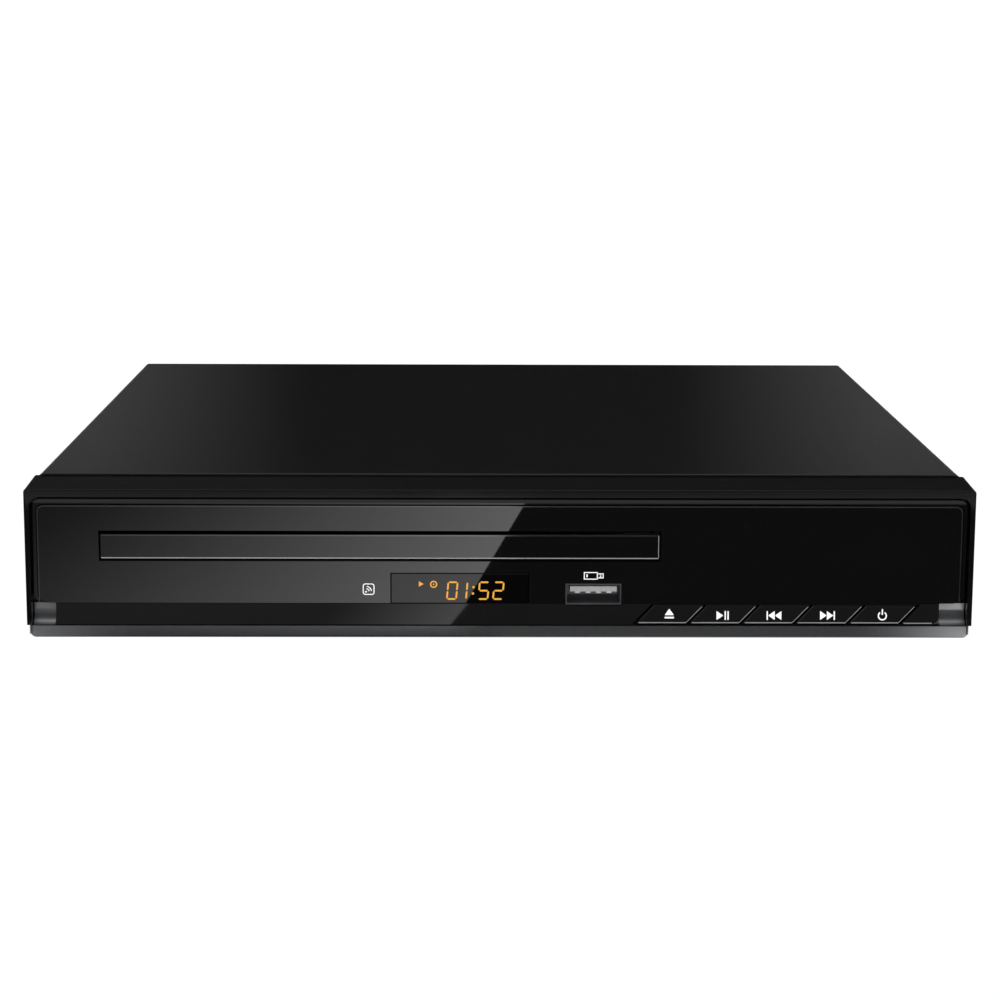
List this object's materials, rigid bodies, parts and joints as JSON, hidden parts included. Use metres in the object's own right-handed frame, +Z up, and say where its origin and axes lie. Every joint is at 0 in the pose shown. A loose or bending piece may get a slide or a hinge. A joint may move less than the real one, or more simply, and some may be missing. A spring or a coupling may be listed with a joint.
{
  "type": "disc player",
  "caption": "Low black disc player with a motorised front tray, lit clock display, memory socket, slanted front keys and rear cable sockets.",
  "frame": {"origin": "on the floor, at the middle of the player's outline", "axes": "+X to the right as seen from the front, +Y to the rear, +Z up; the front faces -Y"},
  "size_m": [0.225, 0.2, 0.0414],
  "materials": {
    "satin_black_steel": "satin black powder coat on sheet steel",
    "black_steel": "matt black paint on sheet steel",
    "galvanised_steel": "galvanised sheet steel",
    "bezel_black": "polished black plastic",
    "window_black": "polished black acrylic",
    "smoked_lens": "smoked clear acrylic",
    "gunmetal": "gunmetal metallic paint",
    "rubber_black": "moulded rubber",
    "board_green": "solder mask on glass-fibre board",
    "chip_black": "moulded chip package",
    "loader_plastic": "textured black plastic",
    "gear_plastic": "natural acetal",
    "bright_steel": "plain steel",
    "nickel": "nickel plate",
    "contact_gold": "gold flash on bronze",
    "socket_white": "white moulded plastic",
    "socket_black": "black moulded plastic",
    "jack_orange": "orange moulded plastic",
    "ferrite": "ferrite core with yellow tape",
    "capacitor_sleeve": "shrink sleeve",
    "aluminium": "extruded aluminium",
    "lens_glass": "coated lens"
  },
  "bodies": {
    "case_body": {"top_cover": "satin_black_steel", "cover_screws": "satin_black_steel", "rear_panel": "black_steel", "bottom_chassis": "galvanised_steel", "front_bezel": "bezel_black", "window_panel": "window_black", "key_fascia": "window_black", "display_lens": "smoked_lens", "lower_trim": "gunmetal", "feet": "rubber_black", "drive_belt": "rubber_black", "front_board": "board_green", "main_board": "board_green", "power_board": "board_green", "main_board_chips": "chip_black", "infrared_receiver": "chip_black", "key_switches": "chip_black", "display_module": "chip_black", "loader_frame": "loader_plastic", "clamp_bridge": "bright_steel", "loading_motor": "bright_steel", "inner_screws": "bright_steel", "memory_socket_shell": "nickel", "memory_socket_tongue": "socket_white", "memory_socket_contacts": "contact_gold", "video_socket_shell": "nickel", "video_socket_tongue": "socket_black", "coax_jack_barrel": "nickel", "coax_jack_body": "jack_orange", "mains_inlet": "socket_black", "mains_inlet_pins": "nickel", "av_socket": "socket_black", "cable_sockets": "socket_white", "flat_cable": "socket_white", "transformer": "ferrite", "power_capacitors": "capacitor_sleeve", "heat_sink": "aluminium"},
    "tray": {"disc_tray": "loader_plastic", "tray_door": "window_black"},
    "tray_gear_body": {"tray_gear": "gear_plastic"},
    "belt_pulley_body": {"belt_pulley": "gear_plastic"},
    "motor_pulley_body": {"motor_pulley": "gear_plastic"},
    "cam_body": {"cam_slider": "gear_plastic"},
    "traverse": {"traverse_plate": "bright_steel", "guide_rods": "bright_steel", "spindle_motor": "bright_steel", "sled_motor": "bright_steel"},
    "turntable_body": {"turntable": "loader_plastic"},
    "pickup_body": {"pickup": "loader_plastic", "pickup_lens": "lens_glass"},
    "sled_gear_body": {"sled_gear": "gear_plastic"},
    "sled_pinion_body": {"sled_pinion": "gear_plastic"},
    "clamp": {"clamp_puck": "loader_plastic"},
    "eject_key_body": {"eject_key": "window_black"},
    "play_pause_key_body": {"play_pause_key": "window_black"},
    "previous_key_body": {"previous_key": "window_black"},
    "next_key_body": {"next_key": "window_black"},
    "power_key_body": {"power_key": "window_black"}
  },
  "joints": [
    {"name": "tray_slide", "type": "slide", "parent": "case_body", "child": "tray", "axis": [0, -1, 0], "range_m": [0, 0.11]},
    {"name": "tray_gear_spin", "type": "hinge", "parent": "case_body", "child": "tray_gear_body", "pos_m": [0.015, -0.067, 0.021], "axis": [0, 0, 1], "range_deg": [-530, 5]},
    {"name": "belt_pulley_spin", "type": "hinge", "parent": "case_body", "child": "belt_pulley_body", "pos_m": [-0.002, -0.067, 0.019], "axis": [0, 0, 1], "range_deg": [-5, 1266]},
    {"name": "motor_pulley_spin", "type": "hinge", "parent": "case_body", "child": "motor_pulley_body", "pos_m": [-0.048, -0.067, 0.018], "axis": [0, 0, 1], "range_deg": [-5, 4834]},
    {"name": "cam_slide", "type": "slide", "parent": "case_body", "child": "cam_body", "axis": [1, 0, 0], "range_m": [0, 0.016]},
    {"name": "traverse_tilt", "type": "hinge", "parent": "case_body", "child": "traverse", "pos_m": [-0.0286, 0.0419, 0.0164], "axis": [1, 0, 0], "range_deg": [0, 4.02]},
    {"name": "turntable_spin", "type": "hinge", "parent": "traverse", "child": "turntable_body", "pos_m": [-0.0286, -0.0321, 0.025], "axis": [0, 0, 1], "continuous": true},
    {"name": "clamp_spin", "type": "hinge", "parent": "case_body", "child": "clamp", "pos_m": [-0.0286, -0.0321, 0.031], "axis": [0, 0, 1], "continuous": true},
    {"name": "pickup_slide", "type": "slide", "parent": "traverse", "child": "pickup_body", "axis": [0, 1, 0], "range_m": [0, 0.034]},
    {"name": "sled_gear_spin", "type": "hinge", "parent": "traverse", "child": "sled_gear_body", "pos_m": [-0.0627, 0.0049, 0.0185], "axis": [0, 0, 1], "range_deg": [-5, 562]},
    {"name": "sled_pinion_spin", "type": "hinge", "parent": "traverse", "child": "sled_pinion_body", "pos_m": [-0.0627, 0.0154, 0.0175], "axis": [0, 0, 1], "range_deg": [-1786, 5]},
    {"name": "eject_press", "type": "slide", "parent": "case_body", "child": "eject_key_body", "axis": [0, 1, 0], "range_m": [0, 0.0005], "stiffness_N_per_m": 1500, "springref_m": -0.0003},
    {"name": "play_pause_press", "type": "slide", "parent": "case_body", "child": "play_pause_key_body", "axis": [0, 1, 0], "range_m": [0, 0.0005], "stiffness_N_per_m": 1500, "springref_m": -0.0003},
    {"name": "previous_press", "type": "slide", "parent": "case_body", "child": "previous_key_body", "axis": [0, 1, 0], "range_m": [0, 0.0005], "stiffness_N_per_m": 1500, "springref_m": -0.0003},
    {"name": "next_press", "type": "slide", "parent": "case_body", "child": "next_key_body", "axis": [0, 1, 0], "range_m": [0, 0.0005], "stiffness_N_per_m": 1500, "springref_m": -0.0003},
    {"name": "power_press", "type": "slide", "parent": "case_body", "child": "power_key_body", "axis": [0, 1, 0], "range_m": [0, 0.0005], "stiffness_N_per_m": 1500, "springref_m": -0.0003}
  ],
  "couplings": [
    {"joint": "tray_gear_spin", "follows": "tray_slide", "rad_per_m": -83.333},
    {"joint": "belt_pulley_spin", "follows": "tray_slide", "rad_per_m": 200},
    {"joint": "motor_pulley_spin", "follows": "tray_slide", "rad_per_m": 766.15},
    {"joint": "traverse_tilt", "follows": "cam_slide", "rad_per_m": 4.3633},
    {"joint": "clamp_spin", "follows": "turntable_spin", "ratio": 1},
    {"joint": "sled_gear_spin", "follows": "pickup_slide", "rad_per_m": 285.71},
    {"joint": "sled_pinion_spin", "follows": "pickup_slide", "rad_per_m": -914.29}
  ]
}
